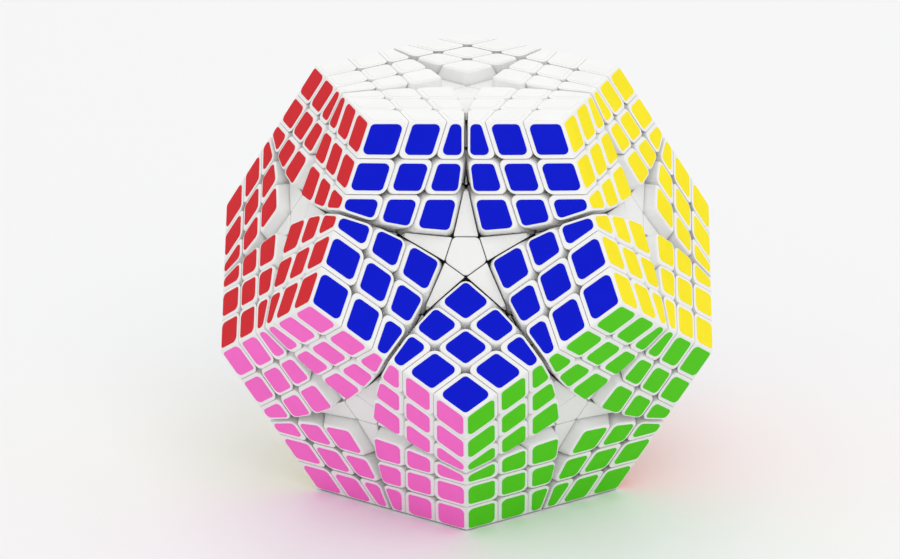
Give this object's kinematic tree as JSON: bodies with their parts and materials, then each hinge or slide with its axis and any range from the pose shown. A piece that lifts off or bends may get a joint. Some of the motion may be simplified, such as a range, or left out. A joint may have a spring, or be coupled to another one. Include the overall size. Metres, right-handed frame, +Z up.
{
  "type": "twisty puzzle",
  "caption": "Dodecahedral twisty puzzle: white plastic corner blocks with flat coloured stickers on a sprung core, with layers that turn about its face axes.",
  "frame": {"origin": "middle of the face that the puzzle rests on, on the surface that it stands on", "axes": "+Z up through the white face; +Y horizontal, from the side of the blue face towards the side of the light blue face"},
  "size_m": [0.1466, 0.1542, 0.1247],
  "materials": {
    "body_plastic": "satin moulded white",
    "core_plastic": "moulded, unpainted",
    "steel": "zinc-plated",
    "sticker_white": "satin vinyl film",
    "sticker_blue": "satin vinyl film",
    "sticker_red": "satin vinyl film",
    "sticker_yellow": "satin vinyl film",
    "sticker_pink": "satin vinyl film",
    "sticker_green": "satin vinyl film",
    "sticker_orange": "satin vinyl film",
    "sticker_cream": "satin vinyl film",
    "sticker_purple": "satin vinyl film",
    "sticker_dark_green": "satin vinyl film",
    "sticker_light_blue": "satin vinyl film",
    "sticker_grey": "satin vinyl film"
  },
  "bodies": {
    "core": {"block_blue_red_pink": "body_plastic", "block_orange_light_blue_grey": "body_plastic", "block_purple_dark_green_light_blue": "body_plastic", "block_purple_orange_light_blue": "body_plastic", "block_yellow_purple_orange": "body_plastic", "centre_blue": "body_plastic", "centre_dark_green": "body_plastic", "centre_grey": "body_plastic", "centre_light_blue": "body_plastic", "centre_orange": "body_plastic", "centre_pink": "body_plastic", "centre_purple": "body_plastic", "centre_red": "body_plastic", "centre_yellow": "body_plastic", "core": "core_plastic", "corner_blue_red_pink": "body_plastic", "corner_orange_light_blue_grey": "body_plastic", "corner_purple_dark_green_light_blue": "body_plastic", "corner_purple_orange_light_blue": "body_plastic", "corner_yellow_purple_orange": "body_plastic", "inner_ball": "core_plastic", "spring_screw_blue": "steel", "spring_screw_cream": "steel", "spring_screw_dark_green": "steel", "spring_screw_green": "steel", "spring_screw_grey": "steel", "spring_screw_light_blue": "steel", "spring_screw_orange": "steel", "spring_screw_pink": "steel", "spring_screw_purple": "steel", "spring_screw_red": "steel", "spring_screw_white": "steel", "spring_screw_yellow": "steel"},
    "white_top": {"white_top_layer": "body_plastic", "centre_white": "body_plastic", "corner_white_blue_red": "body_plastic", "corner_white_blue_yellow": "body_plastic", "corner_white_dark_green_red": "body_plastic", "corner_white_purple_dark_green": "body_plastic", "corner_white_yellow_purple": "body_plastic"},
    "white_second": {"white_second_layer": "body_plastic"},
    "white_third": {"white_third_layer": "body_plastic"},
    "green_top": {"green_top_layer": "body_plastic", "centre_green": "body_plastic", "corner_blue_green_pink": "body_plastic", "corner_blue_yellow_green": "body_plastic", "corner_green_orange_grey": "body_plastic", "corner_green_pink_grey": "body_plastic", "corner_yellow_green_orange": "body_plastic"},
    "green_second": {"green_second_layer": "body_plastic"},
    "green_third": {"green_third_layer": "body_plastic"},
    "cream_top": {"cream_top_layer": "body_plastic", "centre_cream": "body_plastic", "corner_cream_pink_grey": "body_plastic", "corner_dark_green_light_blue_cream": "body_plastic", "corner_dark_green_red_cream": "body_plastic", "corner_light_blue_cream_grey": "body_plastic", "corner_red_cream_pink": "body_plastic"},
    "cream_second": {"cream_second_layer": "body_plastic"},
    "cream_third": {"cream_third_layer": "body_plastic"}
  },
  "joints": [
    {"name": "white_top_turn", "type": "hinge", "parent": "core", "child": "white_top", "pos_m": [0, 0, 0.06236], "axis": [0, 0, 1], "continuous": true},
    {"name": "white_second_turn", "type": "hinge", "parent": "core", "child": "white_second", "pos_m": [0, 0, 0.06236], "axis": [0, 0, 1], "continuous": true},
    {"name": "white_third_turn", "type": "hinge", "parent": "core", "child": "white_third", "pos_m": [0, 0, 0.06236], "axis": [0, 0, 1], "continuous": true},
    {"name": "green_top_turn", "type": "hinge", "parent": "core", "child": "green_top", "pos_m": [0, 0, 0.06236], "axis": [0.5257, -0.7236, -0.4472], "continuous": true},
    {"name": "green_second_turn", "type": "hinge", "parent": "core", "child": "green_second", "pos_m": [0, 0, 0.06236], "axis": [0.5257, -0.7236, -0.4472], "continuous": true},
    {"name": "green_third_turn", "type": "hinge", "parent": "core", "child": "green_third", "pos_m": [0, 0, 0.06236], "axis": [0.5257, -0.7236, -0.4472], "continuous": true},
    {"name": "cream_top_turn", "type": "hinge", "parent": "core", "child": "cream_top", "pos_m": [0, 0, 0.06236], "axis": [-0.8507, 0.2764, -0.4472], "continuous": true},
    {"name": "cream_second_turn", "type": "hinge", "parent": "core", "child": "cream_second", "pos_m": [0, 0, 0.06236], "axis": [-0.8507, 0.2764, -0.4472], "continuous": true},
    {"name": "cream_third_turn", "type": "hinge", "parent": "core", "child": "cream_third", "pos_m": [0, 0, 0.06236], "axis": [-0.8507, 0.2764, -0.4472], "continuous": true}
  ]
}
